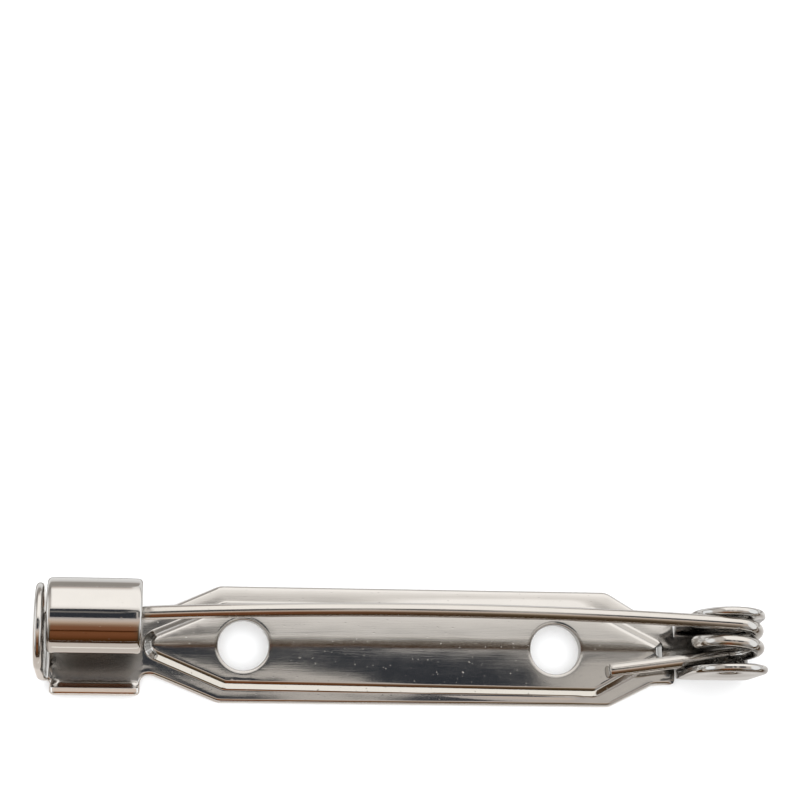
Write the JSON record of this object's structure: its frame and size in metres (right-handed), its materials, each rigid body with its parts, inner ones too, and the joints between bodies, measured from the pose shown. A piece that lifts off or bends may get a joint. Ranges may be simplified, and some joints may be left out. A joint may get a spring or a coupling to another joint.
{
  "type": "pin back",
  "caption": "Stamped metal bar pin back with a hooked catch, a sprung swinging needle and sewing holes, for the back of a brooch or badge.",
  "frame": {"origin": "on the plane of the flat back, in the middle of the length and width of the bar", "axes": "+X along the bar towards the hinge, +Y across the bar towards the closed wall of the hook, +Z away from the brooch towards the needle"},
  "size_m": [0.032, 0.0052, 0.0056],
  "materials": {
    "polished_sheet": "polished stainless steel with fine rubbing marks",
    "spring_wire": "drawn and polished spring wire"
  },
  "bodies": {
    "base": {"back_plate": "polished_sheet", "spring_coil": "spring_wire"},
    "pin": {"needle": "spring_wire"}
  },
  "joints": [
    {"name": "pin_open", "type": "hinge", "parent": "base", "child": "pin", "pos_m": [0.0143, 0, 0.00315], "axis": [0, 1, 0], "range_deg": [0, 30], "deforming": ["spring_coil"]}
  ]
}
